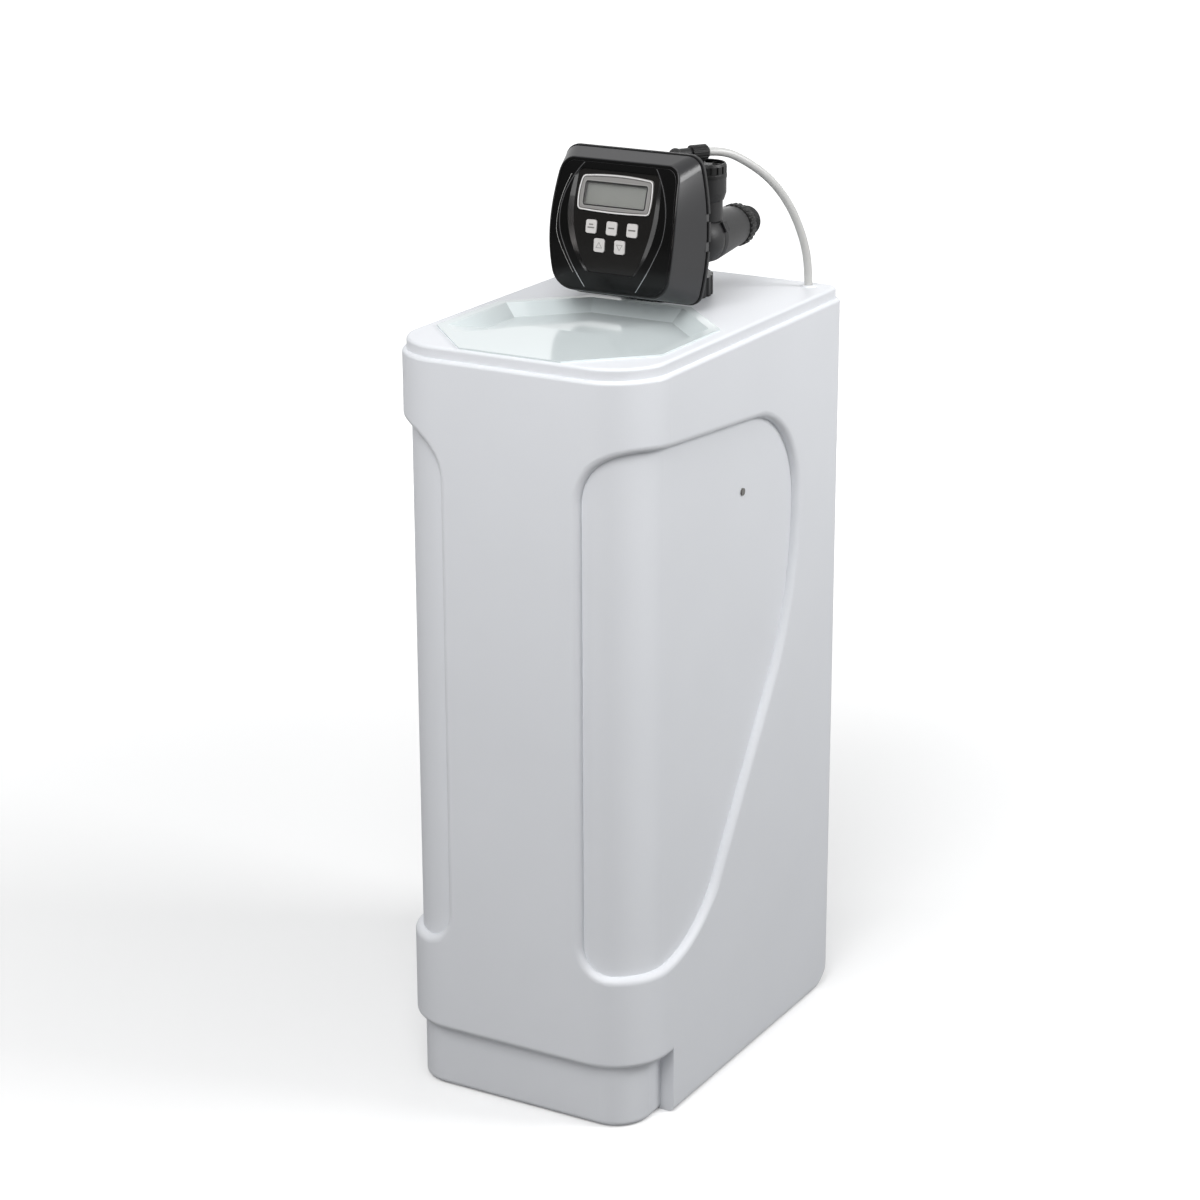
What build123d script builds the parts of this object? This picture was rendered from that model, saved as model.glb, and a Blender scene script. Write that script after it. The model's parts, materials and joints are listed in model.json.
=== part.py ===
from build123d import *
import math
import os

# A cabinet water softener. Millimetres, origin under the middle of the cabinet, front towards -Y, up is +Z.

# Cabinet
WIDTH = 320.0
DEPTH = 484.0
RIM_Z = 857.0
TOP_Z = 870.0
WALL = 4.5
FRONT_CORNER = 68.0
REAR_CORNER = 20.0
HEEL = 60.0
FOOT_R = 7.0
LIP = 16.0
TOP_INSET = 5.0

# Toe kick at the foot of the front
TOE_HEIGHT = 75.0
TOE_INSET = 11.0
TOE_SIDE_INSET = 16.5
TOE_CORNER = 42.0
TOE_END_Y = -162.0

# Leaf-shaped recess in each side, wrapping round the front corner
RECESS_DEPTH = 9.0
RECESS_EDGE = 8.0
LEAF_TOP_Z = 779.0
LEAF_BOTTOM_Z = 184.4
LEAF_REAR_Y = 128.0
LEAF_KNEE_Z = 527.0
LEAF_FRONT_X = 86.0

# Salt lid and the opening under it
LID_Y = -92.0
LID_HALF_X = 139.0
LID_HALF_Y = 142.0
LID_STRAIGHT = 62.0
LID_SHEET = 2.0
LID_DEPTH = 14.0
LID_RIM = 11.0
OPENING_INSET = 8.0

# Resin tank, with its axis behind the salt opening
TANK_Y = 108.0
TANK_R = 101.5
TANK_WALL = 3.0
TANK_DOME_Z = 760.0
NECK_R = 38.0
NECK_Z = 882.0
RISER_R = 13.4

# Control valve
BORE_Z = 955.0
BODY_R = 36.0
BODY_REAR_Y = 170.0
PORT_X = 50.0
PORT_Z = 940.0
PORT_R = 19.0
PORT_BORE = 14.0
PORT_END_Y = 176.0
THREAD_R = 16.6
FITTING_END_Y = 209.0
BRACKET_Y = 31.5
BRACKET_REAR_Y = 35.5
BRACKET_LIP = 1.5
LATCHES = ((977.5, 4.6), (945.5, 5.6))
CHIMNEY_X = 53.0
CHIMNEY_Y = 97.5
NUT_Y = 172.0
NUT_END_Y = 185.0
REFILL_BACK = 40.0
REFILL_NUT = 21.0

# Control head cover: a drafted box whose front is part of a cylinder that lies along X
COVER_REAR_Y = 29.0
COVER_FRONT_Y = -24.4
FACE_R = 258.0
FACE_AXIS_Y = 234.5
FACE_AXIS_Z = 920.0
COVER_WALL = 2.5
FACE_WALL = 4.5
POCKET_R = FACE_R - 3.0
INSERT_R = POCKET_R + 1.4
PANEL_TOP = 1026.0
PANEL_FOOT = 916.0
PANEL_HALF = 50.5
PANEL_CORNER = 7.0
PANEL_SHOULDER = 988.0
PANEL_ARC = (-90.6, 992.6, 141.2)
BEVEL_WIDTH = 6.6
TRIM_WIDTH = 1.1

# Display and buttons
DISPLAY_Z = 1000.8
BUTTON_SIZE = (13.4, 15.0)
BUTTON_CORNER = 2.6
BUTTON_PITCH = 25.6
BUTTON_ROWS_Z = (966.0, 946.5)
BUTTON_LOW_X = -1.4
BUTTON_GAP = 0.3
BUTTON_TRAVEL = 1.0
SWITCH_DEPTH = 10.4

# Drive train, all on axes along Y
MODULE = 1.0
MAIN_TEETH = 56
SMALL_TEETH = 16
LARGE_TEETH = 32
PINION_TEETH = 16
TO_REDUCTION = math.radians(212.0)
TO_PINION = math.radians(221.5)
RUNNING = 0.05

# Brine tube
TUBE_D = 9.5
TUBE_START = (54.0, 100.0)
TUBE_HOLE = (126.0, 214.0)
TUBE_ROUTE = [
    (0.0, 1036.0),
    (20.5, 1036.0),
    (50.5, 1021.5),
    (82.0, 999.0),
    (107.5, 968.0),
    (126.0, 929.5),
    (134.8, 891.5),
    (134.8, 854.0),
]

# Brine well
WELL_X = 118.0
WELL_Y = 202.0
WELL_R = 33.0
GRID_Z = TOE_HEIGHT + WALL
GRID_THICKNESS = 4.0


# Simple solids

def rod_z(radius, low, high, x=0.0, y=0.0):
    """A round rod standing along Z."""
    return Pos(x, y, (low + high) / 2) * Cylinder(radius, high - low)


def rod_y(radius, front, rear, x=0.0, z=BORE_Z):
    """A round rod lying along Y."""
    return Pos(x, (front + rear) / 2, z) * Rot(90, 0, 0) * Cylinder(radius, rear - front)


def rod_x(radius, left, right, y, z):
    """A round rod lying along X."""
    return Pos((left + right) / 2, y, z) * Rot(0, 90, 0) * Cylinder(radius, right - left)


def block(x, y, z):
    """A box between pairs of coordinates."""
    size = [pair[1] - pair[0] for pair in (x, y, z)]
    middle = [(pair[1] + pair[0]) / 2 for pair in (x, y, z)]
    return Pos(*middle) * Box(*size)


def turned(points, x=0.0, y=0.0):
    """A solid of revolution about a vertical axis, from (radius, z) points."""
    outline = Plane.XZ * make_face(Polyline(*points, close=True))
    return Pos(x, y, 0) * revolve(outline, Axis.Z)


def turned_y(points, x=0.0, z=BORE_Z):
    """A solid of revolution about an axis along Y, from (radius, y) points."""
    outline = Plane.XY * make_face(Polyline(*points, close=True))
    return Pos(x, 0, z) * revolve(outline, Axis.Y)


def nearest(face, point):
    """The corner of a flat face nearest to a point in its own plane."""
    return min(face.vertices(), key=lambda v: (v.X - point[0]) ** 2 + (v.Y - point[1]) ** 2)


def rounded(points, radii):
    """A flat face through the points, each corner rounded by its own radius; None leaves it sharp."""
    face = make_face(Polyline(*points, close=True))
    for point, radius in zip(points, radii):
        if radius:
            face = fillet(nearest(face, point), radius)
    return face


def ribbed_disc(radius, depth, count):
    """A flat face like a fine cog, for the grips of nuts and caps."""
    step = 2 * math.pi / count
    points = []
    for i in range(count):
        for turn, r in ((0.06, radius - depth), (0.2, radius), (0.64, radius), (0.78, radius - depth)):
            angle = (i + turn) * step
            points.append((r * math.cos(angle), r * math.sin(angle)))
    return make_face(Polyline(*points, close=True))


# Cabinet

def plan(inset):
    """The cabinet seen from above, drawn in from its outer wall by an inset."""
    half = WIDTH / 2 - inset
    front = -DEPTH / 2 + inset
    rear = DEPTH / 2 - inset
    front_r = FRONT_CORNER - inset
    rear_r = max(REAR_CORNER - inset, 2.0)
    corners = [(-half, front), (half, front), (half, rear), (-half, rear)]
    return rounded(corners, [front_r, front_r, rear_r, rear_r])


def toe_kick(inset):
    """What the toe kick takes away from the foot of the front."""
    half = WIDTH / 2 - TOE_SIDE_INSET - inset
    front = -DEPTH / 2 + TOE_INSET + inset
    corners = [(-half, front), (half, front), (half, DEPTH), (-half, DEPTH)]
    foot = rounded(corners, [TOE_CORNER - inset, TOE_CORNER - inset, None, None])
    height = TOE_HEIGHT + inset
    zone = block((-WIDTH, WIDTH), (-DEPTH, TOE_END_Y + inset), (-1, height))
    return zone - Pos(0, 0, -2) * extrude(foot, height + 4)


def plain_form(inset):
    """The cabinet without its recesses: the plan drawn up, with a round heel and a toe kick."""
    rear = DEPTH / 2 - inset
    side = rounded(
        [(-DEPTH, inset), (rear, inset), (rear, RIM_Z + 1), (-DEPTH, RIM_Z + 1)],
        [None, HEEL - inset, None, None],
    )
    half = WIDTH / 2 - inset
    foot_r = max(FOOT_R - inset, 0.5)
    front = rounded(
        [(-half, inset), (half, inset), (half, RIM_Z + 1), (-half, RIM_Z + 1)],
        [foot_r, foot_r, None, None],
    )
    body = extrude(plan(inset), RIM_Z) & extrude(Plane.YZ * side, WIDTH, both=True)
    body = body & extrude(Plane.XZ * front, DEPTH, both=True)
    return body - toe_kick(inset)


def leaf(grow):
    """The recess seen from the side, as Y and Z, let out all round by an amount."""
    slope = 0.0739
    lean = 0.664
    top = LEAF_TOP_Z + grow
    bottom = LEAF_BOTTOM_Z - grow
    rear = LEAF_REAR_Y + grow
    knee = LEAF_KNEE_Z - 0.3 * grow
    bend_y = -205.0
    corner_z = LEAF_TOP_Z - slope * (LEAF_REAR_Y - bend_y) + grow
    heel_y = rear - (knee - bottom) * lean
    points = [
        (-DEPTH, top),
        (bend_y, top),
        (rear, corner_z),
        (rear, knee),
        (heel_y, bottom),
        (-DEPTH, bottom),
    ]
    return rounded(points, [None, 300.0, 112.0 + grow, 370.0 + grow, 150.0 + grow, None])


def recess(depth, grow):
    """What one side's recess takes away, down to a depth below the outer wall."""
    side = extrude(Plane.YZ * leaf(grow), WIDTH)
    left = LEAF_FRONT_X - grow
    low = LEAF_BOTTOM_Z - grow
    high = LEAF_TOP_Z + grow
    front = rounded([(left, low), (WIDTH, low), (WIDTH, high), (left, high)], [34.0, None, None, 57.0])
    window = side & extrude(Plane.XZ * front, DEPTH, both=True)
    return window - extrude(plan(depth), RIM_Z)


def on_wall(edge):
    """Whether an edge lies on the cabinet's outer wall."""
    for t in (0.15, 0.5, 0.85):
        point = edge @ t
        across = abs(point.X) - (WIDTH / 2 - FRONT_CORNER)
        along = -point.Y - (DEPTH / 2 - FRONT_CORNER)
        if across > 0 and along > 0:
            off = math.hypot(across, along) - FRONT_CORNER
        else:
            off = max(abs(point.X) - WIDTH / 2, abs(point.Y) - DEPTH / 2)
        if abs(off) > 0.02:
            return False
    return True


def recess_rims(body):
    """The edges where the recesses leave the outer wall."""
    rims = []
    for edge in body.edges():
        middle = edge @ 0.5
        in_leaf = LEAF_BOTTOM_Z - 5 < middle.Z < LEAF_TOP_Z + 5 and middle.Y < LEAF_REAR_Y + 5
        if in_leaf and abs(middle.X) > LEAF_FRONT_X - 5 and on_wall(edge):
            upright = abs(edge.tangent_at(0.5).Z) > 0.999 and middle.Y > -DEPTH / 2 + 1
            if not upright or middle.Y > LEAF_REAR_Y - 1:
                rims.append(edge)
    return rims


def cabinet():
    """The moulded tub: recessed sides, toe kick, round heel and an inner lip round the mouth."""
    cut = recess(RECESS_DEPTH, 0)
    body = plain_form(0) - cut - mirror(cut, Plane.YZ)
    body = fillet(recess_rims(body), RECESS_EDGE)
    rim = [e for e in body.edges() if abs(e.center().Z - RIM_Z) < 0.01]
    body = fillet(rim, 4.0)
    ledge = [
        e for e in body.edges()
        if abs(e.center().Z - TOE_HEIGHT) < 0.01 and on_wall(e)
    ]
    body = fillet(ledge, 7.0)
    foot = [
        e for e in body.edges()
        if abs(e.center().Z) < 0.01 and e.center().Y < TOE_END_Y - 0.1
    ]
    body = fillet(foot, 7.0)
    inner_cut = recess(RECESS_DEPTH + WALL, WALL)
    hollow = plain_form(WALL) - inner_cut - mirror(inner_cut, Plane.YZ)
    hollow = hollow & block((-WIDTH, WIDTH), (-DEPTH, DEPTH), (0, RIM_Z - WALL))
    mouth = Pos(0, 0, RIM_Z - WALL - 1) * extrude(plan(LIP), WALL + 2)
    return body - hollow - mouth


def side_plug():
    """The small round plug in the right-hand recess."""
    face_x = WIDTH / 2 - RECESS_DEPTH
    head = rod_x(4.2, face_x, face_x + 1.6, 6.0, 683.0)
    return head


def octagon(grow):
    """The salt lid's outline, let out all round by an amount."""
    hx = LID_HALF_X + grow
    hy = LID_HALF_Y + grow
    cut = grow * math.tan(math.radians(22.5))
    sx = LID_STRAIGHT + cut
    sy = LID_HALF_Y - (LID_HALF_X - LID_STRAIGHT) + cut
    points = [(-sx, -hy), (sx, -hy), (hx, -sy), (hx, sy), (sx, hy), (-sx, hy), (-hx, sy), (-hx, -sy)]
    return Pos(0, LID_Y) * make_face(Polyline(*points, close=True))


def top_plate():
    """The cabinet's top, standing inside its rim, with its salt opening, neck hole and tube hole."""
    plate = Pos(0, 0, RIM_Z) * extrude(plan(TOP_INSET), TOP_Z - RIM_Z)
    edge = [e for e in plate.edges() if abs(e.center().Z - TOP_Z) < 0.01]
    plate = fillet(edge, 3.5)
    skirt = Pos(0, 0, RIM_Z - 12) * extrude(plan(LIP + 0.4), 12)
    under = Pos(0, 0, RIM_Z - 13) * extrude(plan(LIP + 3.4), TOP_Z - RIM_Z + 9)
    plate = plate + skirt - under
    opening = Pos(0, 0, RIM_Z - 20) * extrude(octagon(-OPENING_INSET), 60)
    neck = rod_z(44.0, RIM_Z - 20, TOP_Z + 5, 0, TANK_Y)
    hole = rod_z(7.0, RIM_Z - 20, TOP_Z + 5, *TUBE_HOLE)
    return plate - opening - neck - hole


def tube_grommet():
    """The collar that lines the tube's hole in the top plate."""
    points = [
        (5.0, TOP_Z - 6),
        (8.3, TOP_Z - 6),
        (8.3, TOP_Z - 4),
        (7.0, TOP_Z - 4),
        (7.0, TOP_Z),
        (9.6, TOP_Z),
        (8.6, TOP_Z + 2.0),
        (5.0, TOP_Z + 2.0),
    ]
    return turned(points, *TUBE_HOLE)


def inside_of(planes):
    """The convex solid behind a list of planes, each a point and an outward direction."""
    solid = Pos(0, LID_Y, TOP_Z) * Box(400, 400, 60)
    for point, outward in planes:
        solid = split(solid, bisect_by=Plane(origin=point, z_dir=outward), keep=Keep.BOTTOM)
    return solid


def lid_tray(grow):
    """The sunk space in the lid: steep walls round the rear, shallow ones at the front corners."""
    top = TOP_Z + LID_SHEET
    steep = math.radians(45)
    shallow = math.atan(0.28)
    floor = ((0, LID_Y, top - LID_DEPTH - grow), (0, 0, -1))
    planes = [floor]
    diagonal = (LID_HALF_X + LID_HALF_Y - (LID_HALF_X - LID_STRAIGHT)) / math.sqrt(2)
    walls = [
        (0, LID_HALF_X, steep),
        (45, diagonal, steep),
        (90, LID_HALF_Y, steep),
        (135, diagonal, steep),
        (180, LID_HALF_X, steep),
        (225, diagonal, shallow),
        (270, LID_HALF_Y, steep),
        (315, diagonal, shallow),
    ]
    for degrees, reach, slope in walls:
        angle = math.radians(degrees)
        outward = Vector(math.cos(angle), math.sin(angle), 0)
        normal = outward * math.sin(slope) - Vector(0, 0, math.cos(slope))
        point = Vector(0, LID_Y, top) + outward * (reach - LID_RIM) + normal * grow
        planes.append((point, normal))
    return inside_of(planes) & block((-200, 200), (-300, 100), (top - 40, top))


def lid_shelf(shrink, top):
    """The raised front part of the lid, whose rear edge gives a grip."""
    rear_y = -114.0
    half = 46.0
    lean_x, lean_y = 50.0, 59.0
    length = math.hypot(lean_x, lean_y)
    rear = rear_y - shrink
    side = half - shrink * (length - lean_x) / lean_y
    reach = 3.0
    far_x = side + lean_x * reach
    far_y = rear - lean_y * reach
    points = [(-side, rear), (side, rear), (far_x, far_y), (-far_x, far_y)]
    return Pos(0, 0, top - 60) * extrude(make_face(Polyline(*points, close=True)), 60)


def salt_lid():
    """The thin octagonal lid over the salt opening: a rim, a sunk tray and a raised front shelf."""
    top = TOP_Z + LID_SHEET
    rim = Pos(0, 0, TOP_Z) * extrude(octagon(0), LID_SHEET)
    shell = lid_tray(LID_SHEET) - lid_shelf(LID_SHEET, TOP_Z)
    space = lid_tray(0) - lid_shelf(0, top + 1)
    return rim + shell - space


def salt_grid():
    """The slotted shelf that keeps the salt off the floor of the tub."""
    outline = plan(WALL + RECESS_DEPTH + 1.5)
    plate = Pos(0, 0, GRID_Z) * extrude(outline, GRID_THICKNESS)
    plate -= rod_z(TANK_R + 4, GRID_Z - 1, GRID_Z + 10, 0, TANK_Y)
    plate -= rod_z(8.0, GRID_Z - 1, GRID_Z + 10, *TUBE_HOLE)
    for row in range(6):
        for column in range(5):
            x = (column - 2) * 50.0
            y = -205.0 + row * 34.0
            plate -= Pos(x, y, GRID_Z + 2) * Box(32, 8, 10)
    for x in (-120.0, 120.0):
        plate += rod_z(7.0, WALL, GRID_Z + 1, x, -60.0)
        plate += rod_z(7.0, WALL, GRID_Z + 1, x, 174.0)
    return plate


# Brine well and its float valve

def brine_well():
    """The slotted tube in the rear corner that keeps the salt off the float valve."""
    low = GRID_Z + GRID_THICKNESS
    tube = rod_z(WELL_R, low, 828, WELL_X, WELL_Y) - rod_z(WELL_R - 2.2, low - 1, 829, WELL_X, WELL_Y)
    for i in range(3):
        slot = Pos(WELL_X, WELL_Y, low + 50) * Rot(0, 0, 15 + 60 * i) * Box(4, 3 * WELL_R, 60)
        tube -= slot
    return tube


def brine_well_cap():
    """The cap on the brine well, with a hole for the float valve's inlet."""
    points = [
        (0, 828),
        (0, 831),
        (WELL_R + 2, 831),
        (WELL_R + 2, 818),
        (WELL_R + 0.2, 818),
        (WELL_R + 0.2, 828),
    ]
    cap = turned(points, WELL_X, WELL_Y)
    return cap - rod_z(7.2, 815, 835, *TUBE_HOLE)


def float_valve():
    """The brine valve hung from the well's cap: inlet nut, valve chamber, pick-up pipe and air check."""
    x, y = TUBE_HOLE
    points = [
        (0, 854),
        (8.2, 854),
        (8.2, 831),
        (7.0, 831),
        (7.0, 812),
        (11.0, 808),
        (11.0, 770),
        (6.0, 764),
        (6.0, 64),
        (7.6, 60),
        (7.6, 38),
        (0, 38),
    ]
    guide = block((x - 18, x - 2), (y - 24, y), (786, 790))
    body = turned(points, x, y) + guide + rod_z(4.0, 774, 790, x - 14, y - 20)
    return body - rod_z(2.05, 770, 800, x - 14, y - 20)


def brine_float():
    """The float on its rod, which rises with the brine and shuts the valve."""
    x = TUBE_HOLE[0] - 14
    y = TUBE_HOLE[1] - 20
    rod = rod_z(2.0, 470, 801, x, y)
    body = turned([(0, 500), (13, 500), (15.5, 503), (15.5, 557), (13, 560), (0, 560)], x, y)
    collar = rod_z(3.6, 790, 793, x, y)
    return rod + body + collar


# Resin tank

def dome(base_z, radius, height, steps=7):
    """Points of a half ellipse from the tank's side towards its axis, as (radius, z)."""
    points = []
    for i in range(steps):
        angle = math.radians(66) * i / (steps - 1)
        points.append((radius * math.cos(angle), base_z + height * math.sin(angle)))
    return points


def tank_form(inset):
    """The tank's outer form, drawn in by an inset."""
    radius = TANK_R - inset
    top = dome(TANK_DOME_Z, radius, 78 - inset)
    bottom = dome(100.0, radius, -(88 - inset))
    neck = NECK_R - (inset * 2.3)
    points = [(0, 100.0 - 88 + inset)] + bottom[::-1] + top
    points += [(neck, 836.0), (neck, NECK_Z + inset), (0, NECK_Z + inset)]
    return turned(points, 0, TANK_Y)


def resin_tank():
    """The wound pressure vessel, hollow, with its threaded neck open at the top."""
    return tank_form(0) - tank_form(TANK_WALL)


def tank_base():
    """The cup that the tank's round bottom stands in."""
    points = [
        (60, WALL),
        (74, WALL),
        (TANK_R + 1.9, 36),
        (TANK_R + 1.9, 92),
        (TANK_R + 0.2, 92),
        (TANK_R + 0.2, 60),
        (60, 20),
    ]
    return turned(points, 0, TANK_Y) - tank_form(0)


def resin_bed():
    """The bed of resin beads, round the riser tube."""
    level = Pos(0, TANK_Y, 0) * block((-200, 200), (-200, 200), (0, 540))
    bed = (tank_form(TANK_WALL + 0.2) & level) - rod_z(RISER_R + 0.2, 0, 600, 0, TANK_Y)
    return bed - rod_z(34.2, 0, 72, 0, TANK_Y)


def riser_tube():
    """The tube that brings treated water up from the bottom distributor."""
    return rod_z(RISER_R, 60, 905, 0, TANK_Y) - rod_z(RISER_R - 2, 59, 906, 0, TANK_Y)


def bottom_distributor():
    """The slotted basket at the foot of the riser."""
    points = [(RISER_R, 56), (20, 70), (34, 60), (34, 34), (28, 26), (0, 26), (0, 56)]
    basket = turned(points, 0, TANK_Y)
    for i in range(6):
        basket -= Pos(0, TANK_Y, 44) * Rot(0, 0, i * 30) * Box(80, 2.4, 14)
    return basket + rod_z(16, 26, 56, 0, TANK_Y)


def top_distributor():
    """The slotted ring under the valve that spreads the incoming water."""
    points = [(RISER_R + 0.2, 887), (28, 887), (28, 846), (24, 840), (RISER_R + 0.2, 840)]
    ring = turned(points, 0, TANK_Y)
    hollow = turned([(17, 880), (25.5, 880), (25.5, 846), (17, 846)], 0, TANK_Y)
    ring -= hollow
    for i in range(6):
        ring -= Pos(0, TANK_Y, 863) * Rot(0, 0, i * 30) * (Box(70, 2.4, 24) - Box(36, 3, 30))
    return ring


# Control valve

def port_pipe(x):
    """One of the two water ports at the rear of the valve body, on a long tapered root."""
    root = [(0, 100), (28.5, 100), (29.0, 106), (22.8, 170), (PORT_R, 171), (PORT_R, PORT_END_Y), (0, PORT_END_Y)]
    return turned_y(root, x, PORT_Z)


def valve_body():
    """The moulded body: piston bore, tank collar, two ports, injector chimney, refill and drain bosses."""
    body = rod_y(BODY_R, 40, BODY_REAR_Y)
    flange = rounded([(-42, -42), (42, -42), (42, 42), (-42, 42)], [10, 10, 10, 10])
    body += Plane.XZ.offset(-44) * Pos(0, BORE_Z) * extrude(flange, 44 - BRACKET_REAR_Y)
    body += rod_z(34.0, 888, BORE_Z, 0, TANK_Y)
    body += Pos(0, TANK_Y, TOP_Z + 0.3) * extrude(ribbed_disc(52.0, 2.0, 24), 21.7)
    body += block((-PORT_X, PORT_X), (112, 160), (PORT_Z - 12, PORT_Z + 12))
    body += port_pipe(PORT_X) + port_pipe(-PORT_X)
    body += block((10, CHIMNEY_X), (CHIMNEY_Y - 8, CHIMNEY_Y + 8), (BORE_Z - 5, BORE_Z + 24))
    chimney = [(0, 957), (17, 957), (20, 961), (20, 983), (21.5, 984), (24, 992), (24, 1009), (0, 1009)]
    body += turned(chimney, CHIMNEY_X, CHIMNEY_Y)
    refill_x, refill_y = refill_centre()
    body += rod_z(10.0, BORE_Z, 1019, refill_x, refill_y)
    body += block((0, refill_x), (refill_y - 5, refill_y + 5), (BORE_Z, 1000))
    body += rod_x(12.0, -56, 0, 74, 980)
    body -= rod_y(30.1, 30, 52)
    body -= rod_y(26.0, 30, BODY_REAR_Y - 6)
    for x in (-PORT_X, PORT_X):
        body -= rod_y(PORT_BORE, 114, PORT_END_Y + 1, x, PORT_Z)
    body -= rod_z(NECK_R + 0.3, TOP_Z - 1, 887, 0, TANK_Y)
    body -= rod_z(RISER_R + 0.1, 880, 908, 0, TANK_Y)
    body -= rod_z(13.0, 966, 1012, CHIMNEY_X, CHIMNEY_Y)
    body -= rod_y(14.6, 30, 62, *pinion_centre())
    return body


def refill_centre():
    """Where the refill elbow stands, in line with the tube's own vertical plane."""
    ux, uy = tube_heading()
    return TUBE_START[0] - REFILL_BACK * ux, TUBE_START[1] - REFILL_BACK * uy


def tube_heading():
    """The direction in plan from the tube's start to its hole."""
    dx = TUBE_HOLE[0] - TUBE_START[0]
    dy = TUBE_HOLE[1] - TUBE_START[1]
    run = math.hypot(dx, dy)
    return dx / run, dy / run


def neck_seal():
    """The ring that seals the tank's neck against the valve body."""
    return Pos(0, TANK_Y, 884.4) * Torus(34.6, 2.4)


def seal_stack():
    """The stack of spacers and seals that the piston slides in."""
    pitch = 22.4
    points = [(18.0, 52), (25.9, 52)]
    for i in range(5):
        y = 52 + i * pitch
        points += [(25.9, y + 15), (23.0, y + 17), (23.0, y + 20.4), (25.9, y + pitch)]
    points += [(18.0, 52 + 5 * pitch)]
    return turned_y(points)


def piston():
    """The piston and its rod, pushed along the stack by the drive hub."""
    low = 18.0 - RUNNING
    points = [
        (0, 8),
        (6, 8),
        (7.0, 9.5),
        (7.0, 66),
        (11.0, 68),
        (low, 70),
        (low, 78),
        (12.0, 80),
        (12.0, 90),
        (low, 92),
        (low, 100),
        (12.0, 102),
        (12.0, 112),
        (low, 114),
        (low, 122),
        (0, 122),
    ]
    return turned_y(points)


def drive_cap():
    """The cap that closes the bore and carries the main gear's hub."""
    points = [
        (13.0 + RUNNING, BRACKET_Y - 2),
        (17, BRACKET_Y - 2),
        (17, BRACKET_Y + 1),
        (30.0, BRACKET_Y + 1),
        (30.0, 52),
        (13.0 + RUNNING, 52),
    ]
    return turned_y(points)


def injector():
    """The venturi that draws brine, standing in the chimney."""
    points = [(0, 966), (5, 966), (5, 978), (12.9, 980), (12.9, 984), (7, 986), (7, 1004), (3, 1005), (0, 990)]
    return turned(points, CHIMNEY_X, CHIMNEY_Y)


def injector_cap():
    """The screw cap on top of the chimney: a notched skirt, a plain foot ring and fins in its sunk top."""
    profile = [
        (0, 1009),
        (24.6, 1009),
        (24.6, 1012.6),
        (24.2, 1013.2),
        (24.2, 1022),
        (22.8, 1024.8),
        (21.2, 1024.8),
        (21.2, 1019.5),
        (8.0, 1019.5),
        (8.0, 1023.0),
        (0, 1023.0),
    ]
    cap = turned(profile)
    for i in range(18):
        cap -= Rot(0, 0, 12 + 20 * i) * Pos(24.2, 0, 1018) * Box(3.2, 2.8, 8)
    for i in range(9):
        cap += Rot(0, 0, 40 * i) * Pos(14.5, 0, 1021) * Box(13.8, 1.4, 3.4)
    return Pos(CHIMNEY_X, CHIMNEY_Y, 0) * cap


def refill_elbow():
    """The elbow that turns the refill port towards the brine tube."""
    x, y = refill_centre()
    ux, uy = tube_heading()
    z = TUBE_ROUTE[0][1]
    stem = turned([(0, 1019), (9.4, 1019), (9.4, 1024), (7.6, 1026), (7.6, z), (0, z)], x, y)
    bend = Pos(x, y, z) * Sphere(7.6)
    reach = REFILL_BACK - REFILL_NUT
    arm = Plane(origin=(x, y, z), z_dir=(ux, uy, 0)) * Pos(0, 0, reach / 2) * Cylinder(6.4, reach)
    return stem + bend + arm


def refill_nut():
    """The compression nut that holds the brine tube in the refill elbow."""
    ux, uy = tube_heading()
    z = TUBE_ROUTE[0][1]
    nose = 2.0
    origin = (TUBE_START[0] - REFILL_NUT * ux, TUBE_START[1] - REFILL_NUT * uy, z)
    nut = extrude(ribbed_disc(9.0, 0.7, 16), REFILL_NUT - nose)
    nut += Pos(0, 0, REFILL_NUT - nose) * Cone(8.5, 7.0, nose, align=(Align.CENTER, Align.CENTER, Align.MIN))
    return Plane(origin=origin, z_dir=(ux, uy, 0)) * nut


def refill_clip():
    """The clip that locks the refill elbow into its boss."""
    ring = Cylinder(11.6, 2.4) - Cylinder(9.5, 3) - Pos(-8, -12, 0) * Box(14, 16, 3)
    return Pos(*refill_centre(), 1020.4) * ring


def drain_elbow():
    """The drain elbow on the left of the body, its barbed end pointing to the rear."""
    x = -68.0
    z = 980.0
    arm = rod_x(8.0, x, -56, 74, z)
    bend = Pos(x, 74, z) * Sphere(8.0)
    barb = [(0, 74), (6.5, 74), (6.5, 92)]
    for i in range(3):
        y = 92 + i * 8.0
        barb += [(8.0, y + 1), (6.4, y + 8)]
    barb += [(0, 116)]
    return arm + bend + turned_y(barb, x, z) - rod_y(4.5, 78, 120, x, z)


def drain_clip():
    """The clip that locks the drain elbow into its boss."""
    plate = Box(2.4, 26, 30) - Pos(0, 0, 8) * Box(3, 16.2, 32)
    return Pos(-57.3, 74, 980) * plate


def port_nut(x):
    """A ribbed union nut, open at both ends, with an inner lip that pulls on the fitting's shoulder."""
    shoulder = PORT_END_Y + 5.4
    nut = Plane.XZ.offset(-NUT_END_Y) * extrude(ribbed_disc(24.5, 1.4, 24), NUT_END_Y - NUT_Y)
    profile = [
        (0, NUT_Y),
        (22.8, NUT_Y),
        (24.6, NUT_Y + 1.6),
        (24.6, NUT_END_Y - 2.0),
        (22.4, NUT_END_Y),
        (0, NUT_END_Y),
    ]
    nut = nut & turned_y(profile, 0, 0)
    nut -= rod_y(PORT_R + 0.2, NUT_Y - 1, shoulder, 0, 0)
    nut -= rod_y(THREAD_R + 0.3, NUT_Y - 1, NUT_END_Y + 1, 0, 0)
    return Pos(x, 0, PORT_Z) * nut


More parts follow.
